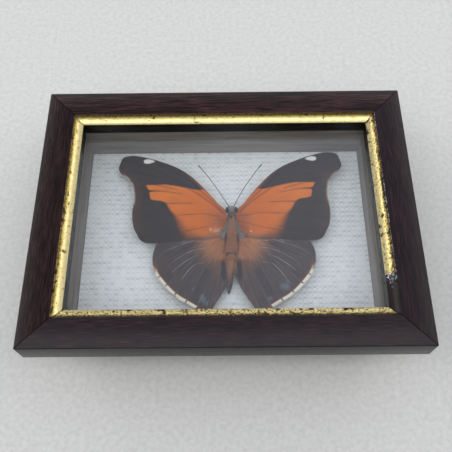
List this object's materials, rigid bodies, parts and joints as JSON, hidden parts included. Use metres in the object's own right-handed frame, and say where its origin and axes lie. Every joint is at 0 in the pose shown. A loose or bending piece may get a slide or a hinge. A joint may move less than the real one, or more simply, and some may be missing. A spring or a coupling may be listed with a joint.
{
  "type": "framed butterfly specimen",
  "caption": "Glazed dark wood frame with a gilded inner edge on a shallow box, holding a spread orange and dark brown butterfly pinned over a white embossed sheet.",
  "frame": {"origin": "centre of the bounding box's underside, the plane that the box's back edges rest on", "axes": "+X to the right of the picture, +Y to the top of the picture, +Z out through the glass"},
  "size_m": [0.18, 0.135, 0.037],
  "materials": {
    "moulding": "dark stained wood with fine grain, worn gilding in the inner scoop, black sight edge",
    "box_timber": "grey-brown stained, matt",
    "brad_steel": "dull bare steel",
    "back_board": "pressed brown hardboard",
    "mount_paper": "white card embossed with a fine square weave",
    "glazing": "clear picture glass, polished",
    "hanger_brass": "brass plated, slightly dulled",
    "wing": "dry scaled wing membrane, matt, orange band on dark brown",
    "insect_body": "dry hairy chitin, matt",
    "pin_steel": "black enamelled pin"
  },
  "bodies": {
    "root": {"rail_bottom": "moulding", "rail_right": "moulding", "rail_top": "moulding", "rail_left": "moulding", "box_side_top": "box_timber", "box_side_bottom": "box_timber", "box_side_left": "box_timber", "box_side_right": "box_timber", "brad_1": "brad_steel", "brad_2": "brad_steel", "brad_3": "brad_steel", "brad_4": "brad_steel", "brad_5": "brad_steel", "brad_6": "brad_steel", "back_panel": "back_board", "mount_sheet": "mount_paper", "glass": "glazing", "hanger": "hanger_brass", "forewing_left": "wing", "forewing_right": "wing", "hindwing_left": "wing", "hindwing_right": "wing", "body": "insect_body", "pin": "pin_steel"}
  },
  "joints": []
}
